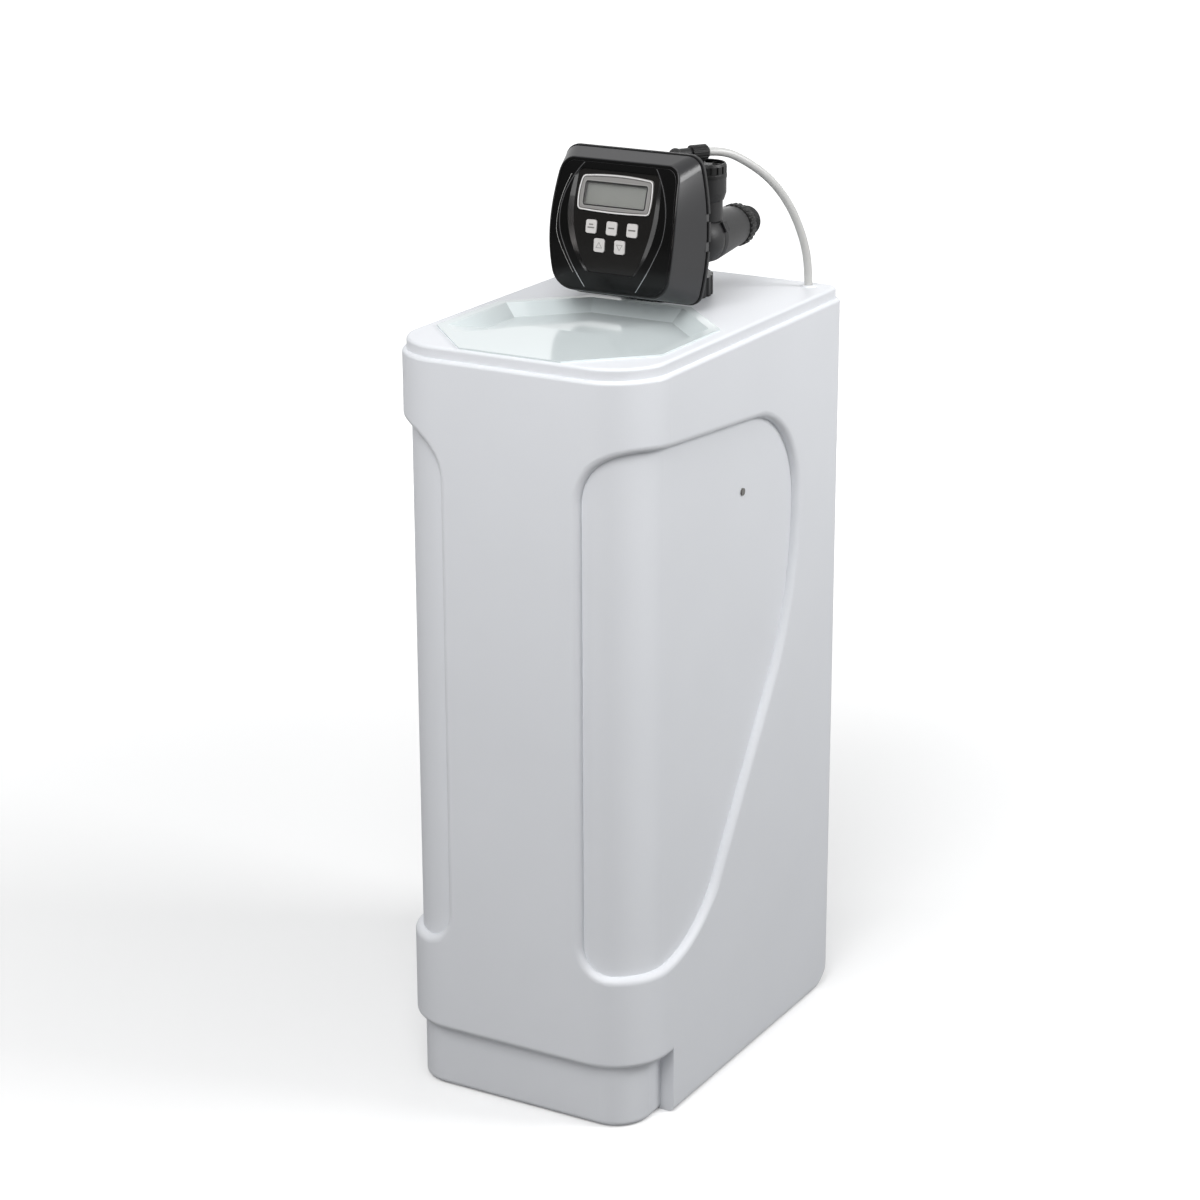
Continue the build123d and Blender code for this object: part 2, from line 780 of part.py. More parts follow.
def port_fitting(x):
    """A threaded water connection, held to its port by the union nut."""
    points = [
        (11.0, PORT_END_Y + 1),
        (PORT_R, PORT_END_Y + 1),
        (PORT_R, PORT_END_Y + 5),
        (THREAD_R - 1, PORT_END_Y + 5),
        (THREAD_R - 1, NUT_END_Y + 0.4),
        (THREAD_R, NUT_END_Y + 0.4),
        (THREAD_R, FITTING_END_Y - 1.2),
        (THREAD_R - 1.2, FITTING_END_Y),
        (11.0, FITTING_END_Y),
    ]
    return turned_y(points, x, PORT_Z)


def port_seals():
    """The flat seal between each port and its fitting."""
    seals = []
    rear = PORT_END_Y + 1
    for x in (-PORT_X, PORT_X):
        ring = [(PORT_BORE, PORT_END_Y), (18, PORT_END_Y), (18, rear), (PORT_BORE, rear)]
        seals.append(turned_y(ring, x, PORT_Z))
    return Compound(children=seals)


def meter_cage():
    """The two spiders in the outlet port that carry the turbine's axle."""
    cage = turned_y([(12.6, 128), (PORT_BORE - 0.05, 128), (PORT_BORE - 0.05, 162), (12.6, 162)], 0, 0)
    for y in (129.5, 160.5):
        spider = rod_y(3.0, y - 1.5, y + 1.5, 0, 0)
        for turn in range(3):
            arm = Rot(0, 120 * turn, 0) * Pos(7.0, y, 0) * Box(13.0, 3, 1.2)
            spider += arm
        cage += spider
    cage -= rod_y(1.05, 120, 170, 0, 0)
    return Pos(-PORT_X, 0, PORT_Z) * cage


def meter_turbine():
    """The water meter's rotor, its six slanted blades on an axle along the port."""
    rotor = rod_y(3.6, 138, 152, 0, 0) + rod_y(1.0, 128.4, 161.6, 0, 0)
    for turn in range(6):
        blade = Rot(0, 60 * turn, 0) * Pos(7.2, 145, 0) * Rot(28, 0, 0) * Box(8.8, 10.0, 1.0)
        rotor += blade
    return Pos(-PORT_X, 0, PORT_Z) * rotor


# Drive bracket, gears and electronics

def cover_outline(plane_y, widths, heights, radii, inset):
    """The control head's outline on a plane across Y: bowed sides between a top and a bottom edge."""
    top, middle, bottom = [w - inset for w in widths]
    high, waist, low = heights[0] - inset, heights[1], heights[2] + inset
    top_r, bottom_r = [r - inset * 0.8 for r in radii]
    right = ThreePointArc((bottom, low), (middle, waist), (top, high))
    left = ThreePointArc((-top, high), (-middle, waist), (-bottom, low))
    face = make_face([right, Line((top, high), (-top, high)), left, Line((-bottom, low), (bottom, low))])
    for side in (-1, 1):
        face = fillet(nearest(face, (side * top, high)), top_r)
        face = fillet(nearest(face, (side * bottom, low)), bottom_r)
    return Plane.XZ.offset(-plane_y) * face


def head_rear(plane_y, inset):
    """The outline of the control head where it meets the bracket."""
    return cover_outline(plane_y, (83.5, 93.7, 82.0), (1045.0, 962.0, 878.0), (18.0, 17.0), inset)


def head_front(plane_y, inset):
    """The outline of the control head at its front."""
    return cover_outline(plane_y, (63.5, 77.0, 68.5), (1028.4, 957.0, 894.4), (22.0, 26.0), inset)


def drive_bracket():
    """The plate behind the control head that carries the gears, the motor and the board."""
    plate = extrude(head_rear(BRACKET_REAR_Y, 0), BRACKET_REAR_Y - BRACKET_Y)
    rim = [e for e in plate.edges() if (e @ 0.5).Y < BRACKET_Y + 0.01]
    plate = fillet(rim, 0.8)
    spigot = BRACKET_LIP + COVER_WALL + 0.9
    plate += extrude(head_rear(BRACKET_Y, spigot), 4.0) - extrude(head_rear(BRACKET_Y, spigot + 2.4), 6.0)
    plate += extrude(head_rear(44.0, 7.0), 8.6) - extrude(head_rear(45.0, 9.5), 12.0)
    plate -= rod_y(30.3, 25, 46)
    plate -= block((-42.5, 42.5), (35.5, 50), (BORE_Z - 42.5, BORE_Z + 42.5))
    for x in (-53.0, 53.0):
        for z in (945.0, 1008.0):
            plate += rod_y(3.0, board_back(z) - 1, BRACKET_Y + 1, x, z)
    plate -= board_frame() * Pos(0, 0, 10) * Box(124, 92, 20)
    rx, rz = reduction_centre()
    px, pz = pinion_centre()
    plate += rod_y(2.0, 11.0, BRACKET_Y + 1, rx, rz)
    plate -= rod_y(14.2, 25, 50, px, pz)
    for z, half in LATCHES:
        for side in (-1, 1):
            inner, outer = sorted((side * 88.6, side * 100.0))
            plate -= block((inner, outer), (BRACKET_Y - 6, BRACKET_REAR_Y + 1), (z - half, z + half))
    return plate


def latch_tabs():
    """The tabs at the cover's sides that snap into the bracket's notches."""
    tabs = None
    for z, half in LATCHES:
        for side in (-1, 1):
            inner, outer = sorted((side * 89.2, side * 91.4))
            tab = block((inner, outer), (COVER_REAR_Y - 1.5, BRACKET_REAR_Y - 0.4), (z - half + 0.5, z + half - 0.5))
            tabs = tab if tabs is None else tabs + tab
    return tabs


def bracket_screws():
    """The four screws that hold the bracket to the valve body."""
    screws = []
    for x, z in ((36.4, 0), (0, 36.4), (-36.4, 0), (0, -36.4)):
        screws.append(rod_y(3.6, BRACKET_Y - 2.6, BRACKET_Y, x, BORE_Z + z))
    return Compound(children=screws)


def involute(angle):
    """The involute function of a pressure angle in radians."""
    return math.tan(angle) - angle


def gear_face(teeth, phase, slack=0.1):
    """A spur gear's outline with involute flanks, one tooth centred on the phase angle."""
    pitch = teeth * MODULE / 2
    base = pitch * math.cos(math.radians(20))
    tip = pitch + 0.85 * MODULE
    root = pitch - 1.2 * MODULE
    half = math.pi / (2 * teeth) - slack / (2 * pitch)
    flank = []
    for r in (max(root, base), pitch, tip):
        flank.append((r, half + involute(math.radians(20)) - involute(math.acos(min(1.0, base / r)))))
    points = []
    for i in range(teeth):
        centre = phase + 2 * math.pi * i / teeth
        sides = [(root, flank[0][1])] + flank
        for r, off in sides:
            points.append((r, centre - off))
        for r, off in sides[::-1]:
            points.append((r, centre + off))
    places = [(r * math.cos(a), r * math.sin(a)) for r, a in points]
    kept = [p for i, p in enumerate(places) if math.dist(p, places[i - 1]) > 0.01]
    return make_face(Polyline(*kept, close=True))


def gear(teeth, phase, centre, front, rear):
    """A solid gear between two places along Y."""
    x, z = centre
    face = Plane.XZ.offset(-rear) * Pos(x, z) * gear_face(teeth, phase)
    return extrude(face, rear - front)


def reduction_centre():
    """The reduction gear's axis, as X and Z."""
    reach = (MAIN_TEETH + SMALL_TEETH) * MODULE / 2
    return reach * math.cos(TO_REDUCTION), BORE_Z + reach * math.sin(TO_REDUCTION)


def pinion_centre():
    """The motor pinion's axis, as X and Z."""
    x, z = reduction_centre()
    reach = (LARGE_TEETH + PINION_TEETH) * MODULE / 2
    return x + reach * math.cos(TO_PINION), z + reach * math.sin(TO_PINION)


def main_gear():
    """The drive gear round the piston rod, with its hub and lightening holes."""
    wheel = gear(MAIN_TEETH, TO_REDUCTION + math.pi / MAIN_TEETH, (0, BORE_Z), 12, 20)
    wheel += rod_y(13.0, 10, 50)
    wheel -= rod_y(7.0 + RUNNING, 0, 60)
    for i in range(6):
        turn = math.radians(60 * i)
        wheel -= rod_y(4.0, 5, 25, 19.5 * math.cos(turn), BORE_Z + 19.5 * math.sin(turn))
    return wheel


def reduction_gear():
    """The double gear between the pinion and the main gear."""
    centre = reduction_centre()
    small = gear(SMALL_TEETH, TO_REDUCTION + math.pi, centre, 11.5, 22)
    large = gear(LARGE_TEETH, TO_PINION + math.pi / LARGE_TEETH, centre, 22, 27)
    return small + large - rod_y(2.0 + RUNNING, 5, 35, *centre)


def motor_pinion():
    """The pinion on the motor's shaft."""
    centre = pinion_centre()
    pinion = gear(PINION_TEETH, TO_PINION + math.pi, centre, 21.5, 27.5)
    return pinion - rod_y(1.2, 15, 30, *centre)


def gear_motor():
    """The small motor that sits in the bracket, with its shaft."""
    x, z = pinion_centre()
    can = rod_y(14.0, 29.5, 58, x, z) + rod_y(5.0, 28.3, 60, x, z)
    return can + rod_y(1.2 - RUNNING, 20.5, 30, x, z)


def gear_cover():
    """The flat cover over the reduction gear and pinion, on its own legs."""
    rx, rz = reduction_centre()
    px, pz = pinion_centre()
    leg_x, leg_z = px - 15.5, pz - 10.0
    plate = rod_y(8.0, 8.6, 11.0, rx, rz) + rod_y(4.5, 8.6, 11.0, leg_x, leg_z)
    angle = math.degrees(math.atan2(rz - leg_z, rx - leg_x))
    middle = Pos((rx + leg_x) / 2, 9.8, (rz + leg_z) / 2)
    plate += middle * Rot(0, -angle, 0) * Box(math.hypot(rx - leg_x, rz - leg_z), 2.4, 9)
    return plate + rod_y(3.0, 8.6, BRACKET_Y, leg_x, leg_z)


BOARD_TILT = math.atan(0.2)


def board_back(z):
    """The Y of the circuit board's rear face at a height."""
    return -1.4 + (z - 975.0) * 0.2


def board_frame():
    """The plane of the circuit board's rear face, with its normal to the front."""
    normal = (0, -math.cos(BOARD_TILT), math.sin(BOARD_TILT))
    return Plane(origin=(0, board_back(975.0), 975.0), x_dir=(1, 0, 0), z_dir=normal)


def button_places():
    """Each button's name and its place on the face, as X and Z."""
    high, low = BUTTON_ROWS_Z
    return {
        "button_left": (-BUTTON_PITCH, high),
        "button_middle": (0.0, high),
        "button_right": (BUTTON_PITCH, high),
        "button_up": (BUTTON_LOW_X - BUTTON_PITCH / 2, low),
        "button_down": (BUTTON_LOW_X + BUTTON_PITCH / 2, low),
    }


def circuit_board():
    """The board, with a push switch behind each button."""
    frame = board_frame()
    board = extrude(rounded([(-57, -41), (57, -41), (57, 41), (-57, 41)], [4, 4, 4, 4]), 1.6)
    for x, z in button_places().values():
        tip = frame.to_local_coords(button_frame(x, z, FACE_R - SWITCH_DEPTH).origin)
        board += Pos(tip.X, tip.Y, 2.6) * Box(6, 6, 2.2)
        board += Pos(tip.X, tip.Y, (1 + tip.Z) / 2) * Cylinder(1.7, tip.Z - 1)
    board += Pos(44, -30, 4) * Box(14, 8, 6)
    board += Pos(-42, -31, 4.6) * Cylinder(5, 6)
    return frame * board


def display_module():
    """The display behind its window, standing on the board."""
    up = (DISPLAY_Z - 975.0) / math.cos(BOARD_TILT)
    stand = board_frame() * Pos(0, up + 1, 1.6 + 2) * Box(70, 22, 4)
    return stand + button_frame(0, DISPLAY_Z, FACE_R - 7.8) * Box(84, 31, 4.2)


def power_socket():
    """The low-voltage socket at the rear of the bracket."""
    socket = block((-66, -50), (BRACKET_REAR_Y, 48), (992, 1006))
    return socket - rod_y(4.0, 40, 50, -58, 999)


# Control head cover, face and buttons

def barrel(radius):
    """The cylinder along X whose front is the control head's face."""
    return Pos(0, FACE_AXIS_Y, FACE_AXIS_Z) * Rot(0, 90, 0) * Cylinder(radius, 400)


def head_form(inset, face_inset):
    """The control head's outer form, drawn in at its sides and at its face."""
    rear = head_rear(COVER_REAR_Y, inset + BRACKET_LIP)
    front = head_front(COVER_FRONT_Y, inset)
    return loft([rear, front]) & barrel(FACE_R - face_inset)


def layer(face, inner, outer):
    """The part of a face drawn along Y that lies between two radii of the barrel."""
    prism = extrude(Plane.XZ.offset(40) * face, -60)
    return (prism & barrel(outer)) - barrel(inner)


def panel_side(z):
    """The X of the middle panel's right-hand edge at a height."""
    corner_z = PANEL_TOP - PANEL_CORNER
    if z > corner_z:
        return PANEL_HALF - PANEL_CORNER + math.sqrt(PANEL_CORNER ** 2 - (z - corner_z) ** 2)
    if z > PANEL_SHOULDER:
        return PANEL_HALF
    x, centre_z, radius = PANEL_ARC
    return x + math.sqrt(radius ** 2 - (z - centre_z) ** 2)


def panel_outline(grow):
    """The middle panel of the face: wide round the display and narrow at its foot."""
    half = PANEL_HALF + grow
    waist = (panel_side(954.0) + grow, 954.0)
    foot = panel_side(PANEL_FOOT) + grow
    top = PANEL_TOP + grow
    low = PANEL_FOOT - grow
    right = [
        Line((half, top), (half, PANEL_SHOULDER)),
        ThreePointArc((half, PANEL_SHOULDER), waist, (foot, low)),
    ]
    left = [mirror(edge, Plane.YZ) for edge in right]
    ends = [Line((-foot, low), (foot, low)), Line((-half, top), (half, top))]
    face = make_face(right + left + ends)
    for side in (-1, 1):
        face = fillet(nearest(face, (side * half, top)), PANEL_CORNER)
        face = fillet(nearest(face, (side * foot, low)), 2.5)
    return face


def barrel_y(z, radius):
    """The Y of the barrel's front at a height."""
    return FACE_AXIS_Y - math.sqrt(radius ** 2 - (z - FACE_AXIS_Z) ** 2)


def panel_bevel():
    """What the right-hand bevel takes away between the sunk panel and the face, thinning out at its ends."""
    sections = []
    span = PANEL_TOP - PANEL_FOOT + 2.0
    for z in (917.0, 921.0, 928.0, 938.0, 950.0, 964.0, 980.0, 996.0, 1010.0, 1018.0, 1022.0, 1025.4):
        inner = panel_side(z) - 0.3
        outer = panel_side(z) + BEVEL_WIDTH * math.sqrt(math.sin(math.pi * (z - PANEL_FOOT + 1.8) / (span + 0.4)))
        face_y = barrel_y(z, FACE_R + 0.05)
        corners = [(inner, barrel_y(z, INSERT_R)), (outer, face_y), (outer, face_y - 6), (inner, face_y - 6)]
        sections.append(Pos(0, 0, z) * make_face(Polyline(*corners, close=True)))
    return loft(sections, ruled=True)


def face_groove():
    """The fine groove that follows the edge of the face."""
    ring = head_form(2.6, -1.0) - head_form(3.3, -2.0)
    return ring - barrel(FACE_R - 0.45)


def display_window_face(grow):
    """The opening over the display."""
    x = 38.2 + grow
    z = 12.0 + grow
    return Pos(0, DISPLAY_Z) * rounded([(-x, -z), (x, -z), (x, z), (-x, z)], [1.5, 1.5, 1.5, 1.5])


def button_frame(x, z, radius):
    """The plane square to the face at a place, at a radius of the barrel."""
    lift = math.asin((z - FACE_AXIS_Z) / FACE_R)
    normal = Vector(0, -math.cos(lift), math.sin(lift))
    origin = Vector(x, FACE_AXIS_Y, FACE_AXIS_Z) + normal * radius
    return Plane(origin=origin, x_dir=(1, 0, 0), z_dir=normal)


def button_prism(x, z, grow, low, high):
    """A rounded block square to the face, between two radii of the barrel."""
    half_x = BUTTON_SIZE[0] / 2 + grow
    half_z = BUTTON_SIZE[1] / 2 + grow
    corners = [(-half_x, -half_z), (half_x, -half_z), (half_x, half_z), (-half_x, half_z)]
    return button_frame(x, z, low) * extrude(rounded(corners, [BUTTON_CORNER] * 4), high - low)


def openings(grow):
    """The display window and the button holes, cut through the face."""
    cut = extrude(Plane.XZ.offset(40) * display_window_face(grow), -60)
    for x, z in button_places().values():
        cut += button_prism(x, z, grow, FACE_R - 12, FACE_R + 8)
    return cut


def front_cover():
    """The pull-off cover of the control head: a drafted shell with a sunk middle panel."""
    form = head_form(0, 0)
    edges = []
    for edge in form.edges():
        middle = edge @ 0.5
        if middle.Y < 12 and abs(middle.Y - barrel_y(middle.Z, FACE_R)) < 0.01:
            edges.append(edge)
    form = fillet(edges, 2.5)
    cover = form - head_form(COVER_WALL, FACE_WALL) + latch_tabs()
    cover -= layer(panel_outline(0), POCKET_R, FACE_R + 5)
    trim = layer(trim_face(), FACE_R - 0.5, FACE_R + 5)
    bevel = panel_bevel()
    cover = cover - face_groove() - trim - mirror(trim, Plane.YZ) - bevel - mirror(bevel, Plane.YZ)
    return cover - openings(BUTTON_GAP)


def face_insert():
    """The printed panel round the display and buttons."""
    return layer(panel_outline(-0.15), POCKET_R, INSERT_R) - openings(BUTTON_GAP)


def trim_face():
    """The right-hand bright line of the face, seen from the front."""
    line = [(44.8, 1031.8), (51.2, 1023.4), (57.2, 1012.7), (61.8, 1001.2), (64.8, 989.0), (65.8, 977.5)]
    line += [(65.2, 966.5), (63.2, 956.6), (59.7, 947.3), (55.1, 937.5), (49.4, 926.4), (42.6, 915.0), (32.2, 899.0)]
    outer = [(x + TRIM_WIDTH / 2, z) for x, z in line]
    inner = [(x - TRIM_WIDTH / 2, z) for x, z in line[::-1]]
    edges = [Spline(*outer), Line(outer[-1], inner[0]), Spline(*inner), Line(inner[-1], outer[0])]
    return make_face(edges)


def trim_lines():
    """The two thin bright lines that bow down the sides of the face."""
    strip = layer(trim_face(), FACE_R - 0.5, FACE_R + 0.35)
    return Compound(children=[strip, mirror(strip, Plane.YZ)])


def display_bezel():
    """The bowed frame round the display window."""
    high = DISPLAY_Z + 18.4
    low = DISPLAY_Z - 17.6
    outline = make_face(
        [
            ThreePointArc((-43.5, high), (0, high + 2.6), (43.5, high)),
            ThreePointArc((43.5, high), (46.0, DISPLAY_Z + 2), (44.5, low)),
            ThreePointArc((44.5, low), (0, low - 1.6), (-44.5, low)),
            ThreePointArc((-44.5, low), (-46.0, DISPLAY_Z + 2), (-43.5, high)),
        ]
    )
    for x, z in ((-43.5, high), (43.5, high), (44.5, low), (-44.5, low)):
        outline = fillet(nearest(outline, (x, z)), 4.0)
    frame = layer(outline, INSERT_R, INSERT_R + 1.6)
    return frame - extrude(Plane.XZ.offset(40) * display_window_face(-0.6), -60)


def display_window():
    """The clear window behind the bezel."""
    return layer(display_window_face(-0.05), INSERT_R - 1.0, INSERT_R)


def button(x, z):
    """A push button: a soft-edged key, its shank through the face and a flange behind it."""
    key = button_prism(x, z, 0, FACE_R - 4.9, INSERT_R + 1.3)
    top = key.faces().sort_by(Axis.Y)[0]
    key = fillet(top.edges(), 0.7)
    half_x = BUTTON_SIZE[0] / 2 + 1.5
    half_z = BUTTON_SIZE[1] / 2 + 1.3
    corners = [(-half_x, -half_z), (half_x, -half_z), (half_x, half_z), (-half_x, half_z)]
    flange = button_frame(x, z, FACE_R - 6.3) * extrude(rounded(corners, [BUTTON_CORNER] * 4), 1.5)
    depth = SWITCH_DEPTH - BUTTON_TRAVEL - 0.2
    post = button_frame(x, z, FACE_R - (depth + 6) / 2) * Cylinder(1.6, depth - 6)
    return key + flange + post


# Brine tube

def route():
    """The tube's route in space: out along its heading and down through the hole."""
    ux, uy = tube_heading()
    return [(TUBE_START[0] + ux * s, TUBE_START[1] + uy * s, z) for s, z in TUBE_ROUTE]


def tube_radii(points):
    """The largest radius that each corner of the route has room for."""
    radii = []
    for before, corner, after in zip(points, points[1:], points[2:]):
        run_in = Vector(*corner) - Vector(*before)
        run_out = Vector(*after) - Vector(*corner)
        turn = math.radians(run_in.get_angle(run_out))
        radii.append(0.45 * min(run_in.length, run_out.length) / math.tan(turn / 2))
    return radii


def brine_tube():
    """The stiff white tube from the refill elbow to the float valve."""
    points = route()
    radii = tube_radii(points)
    print("tube radii", [round(r, 1) for r in radii])
    path = FilletPolyline(*points, radius=radii)
    ux, uy = tube_heading()
    section = Plane(origin=points[0], z_dir=(ux, uy, 0)) * Circle(TUBE_D / 2)
    tube = sweep(section, path)
    whole = math.pi * (TUBE_D / 2) ** 2 * path.length
    print("tube length", round(path.length, 1), "volume ratio", round(tube.volume / whole, 4))
    return tube


def write(name, shape):
    """Write one piece under its own name."""
    export_step(shape, os.path.join("parts", name + ".step"))


def main():
    os.makedirs("parts", exist_ok=True)
    pieces = {
        "cabinet": cabinet(),
        "top_plate": top_plate(),
        "side_plug": side_plug(),
        "tube_grommet": tube_grommet(),
        "salt_lid": salt_lid(),
        "salt_grid": salt_grid(),
        "brine_well": brine_well(),
        "brine_well_cap": brine_well_cap(),
        "float_valve": float_valve(),
        "brine_float": brine_float(),
        "resin_tank": resin_tank(),
        "tank_base": tank_base(),
        "resin_bed": resin_bed(),
        "riser_tube": riser_tube(),
        "bottom_distributor": bottom_distributor(),
        "top_distributor": top_distributor(),
        "valve_body": valve_body(),
        "neck_seal": neck_seal(),
        "seal_stack": seal_stack(),
        "piston": piston(),
        "drive_cap": drive_cap(),
        "injector": injector(),
        "injector_cap": injector_cap(),
        "refill_elbow": refill_elbow(),
        "refill_nut": refill_nut(),
        "refill_clip": refill_clip(),
        "drain_elbow": drain_elbow(),
        "drain_clip": drain_clip(),
        "inlet_nut": port_nut(PORT_X),
        "outlet_nut": port_nut(-PORT_X),
        "inlet_fitting": port_fitting(PORT_X),
        "outlet_fitting": port_fitting(-PORT_X),
        "port_seals": port_seals(),
        "meter_cage": meter_cage(),
        "meter_turbine": meter_turbine(),
        "drive_bracket": drive_bracket(),
        "bracket_screws": bracket_screws(),
        "main_gear": main_gear(),
        "reduction_gear": reduction_gear(),
        "motor_pinion": motor_pinion(),
        "gear_motor": gear_motor(),
        "gear_cover": gear_cover(),
        "circuit_board": circuit_board(),
        "display_module": display_module(),
        "power_socket": power_socket(),
        "front_cover": front_cover(),
        "face_insert": face_insert(),
        "trim_lines": trim_lines(),
        "display_bezel": display_bezel(),
        "display_window": display_window(),
        "brine_tube": brine_tube(),
    }
    for name, (x, z) in button_places().items():
        pieces[name] = button(x, z)
    for name, shape in pieces.items():
        write(name, shape)


if __name__ == "__main__":
    main()
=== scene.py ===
import json
import math
import bpy
import bmesh
from mathutils import Matrix, Vector


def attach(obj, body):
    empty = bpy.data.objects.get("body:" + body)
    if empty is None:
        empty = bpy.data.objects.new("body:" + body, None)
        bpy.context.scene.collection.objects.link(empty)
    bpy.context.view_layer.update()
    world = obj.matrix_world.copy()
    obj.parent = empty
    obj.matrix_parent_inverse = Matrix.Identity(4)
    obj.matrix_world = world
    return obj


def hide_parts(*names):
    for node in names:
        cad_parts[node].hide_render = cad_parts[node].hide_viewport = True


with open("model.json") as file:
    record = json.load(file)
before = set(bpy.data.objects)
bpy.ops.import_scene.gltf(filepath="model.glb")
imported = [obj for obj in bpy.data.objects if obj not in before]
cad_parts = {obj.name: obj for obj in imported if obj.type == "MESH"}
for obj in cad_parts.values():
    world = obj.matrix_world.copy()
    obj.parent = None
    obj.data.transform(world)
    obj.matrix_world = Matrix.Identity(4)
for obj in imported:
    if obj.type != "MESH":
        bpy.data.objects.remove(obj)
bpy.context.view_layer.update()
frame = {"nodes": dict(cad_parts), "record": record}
nodes = frame["nodes"]
scene = bpy.context.scene
scene.view_settings.view_transform = "Standard"


# Camera, from the vanishing lines of the photograph, in metres

AZIMUTH = math.radians(29.978)
ELEVATION = math.radians(18.472)
ROLL = math.radians(-0.19)
CAMERA_PLACE = (1.6446, -2.8974, 1.6472)
LENS_MM = 92.61
SENSOR_MM = 36


def place_camera():
    """The camera, turned by its azimuth and elevation and then rolled a little."""
    forward = Vector((
        -math.sin(AZIMUTH) * math.cos(ELEVATION),
        math.cos(AZIMUTH) * math.cos(ELEVATION),
        -math.sin(ELEVATION),
    ))
    level = Vector((math.cos(AZIMUTH), math.sin(AZIMUTH), 0))
    upward = level.cross(forward)
    across = level * math.cos(ROLL) + upward * math.sin(ROLL)
    above = upward * math.cos(ROLL) - level * math.sin(ROLL)
    data = bpy.data.cameras.new("camera")
    data.lens = LENS_MM
    data.sensor_width = SENSOR_MM
    camera = bpy.data.objects.new("camera", data)
    bpy.context.collection.objects.link(camera)
    turn = Matrix((across, above, -forward)).transposed()
    camera.matrix_world = Matrix.Translation(CAMERA_PLACE) @ turn.to_4x4()
    scene.camera = camera


place_camera()


# Shader nodes

WHITE = (1, 1, 1, 1)


def add(tree, kind, **inputs):
    """A new shader node with these inputs set; an underscore in an input's name stands for a space."""
    node = tree.nodes.new("ShaderNode" + kind)
    for name, value in inputs.items():
        node.inputs[name.replace("_", " ")].default_value = value
    return node


def combined(tree, operation, first, second):
    """Two values brought together by a named operation."""
    node = add(tree, "Math")
    node.operation = operation
    tree.links.new(first, node.inputs[0])
    tree.links.new(second, node.inputs[1])
    return node.outputs[0]


def mapped(tree, value, source, target, interpolation="LINEAR"):
    """A value carried over from one range to another and held at the ends."""
    node = add(tree, "MapRange", From_Min=source[0], From_Max=source[1], To_Min=target[0], To_Max=target[1])
    node.interpolation_type = interpolation
    tree.links.new(value, node.inputs["Value"])
    return node.outputs[0]


def y_part(tree, vector):
    """The Y part of a position or direction."""
    node = add(tree, "SeparateXYZ")
    tree.links.new(vector, node.inputs[0])
    return node.outputs["Y"]


def mixed(tree, factor, first, second):
    """Two shaders mixed by a factor."""
    node = add(tree, "MixShader")
    for source, socket in zip((factor, first, second), node.inputs):
        tree.links.new(source, socket)
    return node.outputs[0]


# Surroundings

FILL_COLOUR = (0.97, 0.985, 1.0, 1)
FILL_STRENGTH = 0.26
GLOSS_DIRECTIONS = (-0.7, 0.4)
GLOSS_STRENGTHS = (0.1, 1.0)


def room():
    """Dim fill on surfaces, white to the eye, and in gloss white behind the object and dim in front of it."""
    world = bpy.data.worlds.new("studio")
    world.use_nodes = True
    scene.world = world
    tree = world.node_tree
    tree.nodes.clear()
    fill = add(tree, "Background", Color=FILL_COLOUR, Strength=FILL_STRENGTH)
    white = add(tree, "Background", Color=WHITE, Strength=1.0)
    gloss = add(tree, "Background", Color=WHITE)
    depth = y_part(tree, add(tree, "TexCoord").outputs["Generated"])
    tree.links.new(mapped(tree, depth, GLOSS_DIRECTIONS, GLOSS_STRENGTHS), gloss.inputs["Strength"])
    path = add(tree, "LightPath")
    seen = combined(tree, "MAXIMUM", path.outputs["Is Camera Ray"], path.outputs["Is Transmission Ray"])
    unseen = mixed(tree, path.outputs["Is Glossy Ray"], fill.outputs[0], gloss.outputs[0])
    both = mixed(tree, seen, unseen, white.outputs[0])
    tree.links.new(both, add(tree, "OutputWorld").inputs["Surface"])


room()


# Lamps, in metres and watts

def area_light(name, place, target, size, power, colour=(1, 1, 1)):
    """A rectangular softbox aimed at a point."""
    data = bpy.data.lights.new(name, "AREA")
    data.shape = "RECTANGLE"
    data.size, data.size_y = size
    data.energy = power
    data.color = colour
    lamp = bpy.data.objects.new(name, data)
    bpy.context.collection.objects.link(lamp)
    aim = Vector(target) - Vector(place)
    lamp.matrix_world = Matrix.Translation(place) @ aim.to_track_quat("-Z", "Y").to_matrix().to_4x4()


area_light("top", (0.0, -0.5, 2.7), (0, -0.1, 0.6), (1.2, 1.2), 8)
area_light("front", (0.4, -1.8, 2.3), (0, -0.2, 0.8), (1.4, 1.4), 38)
area_light("right", (2.0, 0.7, 1.9), (0, 0, 0.6), (1.0, 1.0), 34)
area_light("left", (-1.7, -1.1, 1.5), (0, -0.05, 0.9), (0.3, 1.1), 4)
area_light("strip", (-0.06, -3.0, 1.35), (0, 0, 1.0), (0.13, 0.85), 4, (1, 0.95, 0.93))
area_light("rear", (-0.8, 2.6, 0.95), (0, 0, 0.5), (1.0, 1.0), 9)


# Materials

CLOUD_DETAIL = 3
CLOUD_EDGES = (0.3, 0.7)
GRAIN_DETAIL = 2
GRAIN_DEPTH = 0.0006
BEVEL_SAMPLES = 4
COVER_FACING = (-0.74, -0.87)


def new_material(name):
    """An empty material with a principled shader, and its tree and shader."""
    material = bpy.data.materials.new(name)
    material.use_nodes = True
    tree = material.node_tree
    return material, tree, tree.nodes["Principled BSDF"]


def linear(colour):
    """A colour written as 0 to 255, as the shader wants it."""
    out = []
    for value in colour:
        share = value / 255
        out.append(share / 12.92 if share <= 0.04045 else ((share + 0.055) / 1.055) ** 2.4)
    return (*out, 1)


